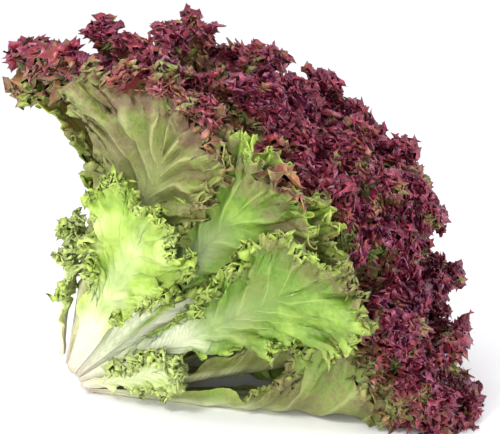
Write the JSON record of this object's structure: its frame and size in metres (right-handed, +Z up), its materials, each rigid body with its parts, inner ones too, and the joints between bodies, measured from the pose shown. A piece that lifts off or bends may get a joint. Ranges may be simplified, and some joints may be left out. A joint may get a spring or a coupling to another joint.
{
  "type": "lollo rosso lettuce",
  "caption": "Head of red frilled leaf lettuce, cut at the stem and lying on its side: pale ribs and green blades open into a dome of dark red frills.",
  "frame": {"origin": "centre of the bounding box's bottom face, on the surface that the head lies on", "axes": "+X from the cut stem towards the leaf tips, +Y away from the picture's viewpoint, +Z up"},
  "size_m": [0.227, 0.2378, 0.1839],
  "materials": {
    "stem": "moist cut stem, satin",
    "pale leaf": "yellow-green leaf, satin",
    "outer leaf": "leaf with a dark red frill, satin",
    "middle leaf": "leaf with a dark red frill, satin",
    "heart leaf": "young leaf with a red frill, satin"
  },
  "bodies": {
    "root": {"stem": "stem", "base_leaf_1": "pale leaf", "base_leaf_2": "pale leaf", "base_leaf_3": "pale leaf", "base_leaf_4": "pale leaf", "outer_leaf_1": "outer leaf", "outer_leaf_2": "outer leaf", "outer_leaf_3": "outer leaf", "outer_leaf_4": "outer leaf", "outer_leaf_5": "outer leaf", "outer_leaf_6": "outer leaf", "outer_leaf_7": "outer leaf", "outer_leaf_8": "outer leaf", "outer_leaf_9": "outer leaf", "outer_leaf_10": "outer leaf", "middle_leaf_1": "middle leaf", "middle_leaf_2": "middle leaf", "middle_leaf_3": "middle leaf", "middle_leaf_4": "middle leaf", "middle_leaf_5": "middle leaf", "middle_leaf_6": "middle leaf", "middle_leaf_7": "middle leaf", "middle_leaf_8": "middle leaf", "middle_leaf_9": "middle leaf", "middle_leaf_10": "middle leaf", "heart_leaf_1": "heart leaf", "heart_leaf_2": "heart leaf", "heart_leaf_3": "heart leaf", "heart_leaf_4": "heart leaf", "heart_leaf_5": "heart leaf", "heart_leaf_6": "heart leaf", "heart_leaf_7": "heart leaf"}
  },
  "joints": []
}
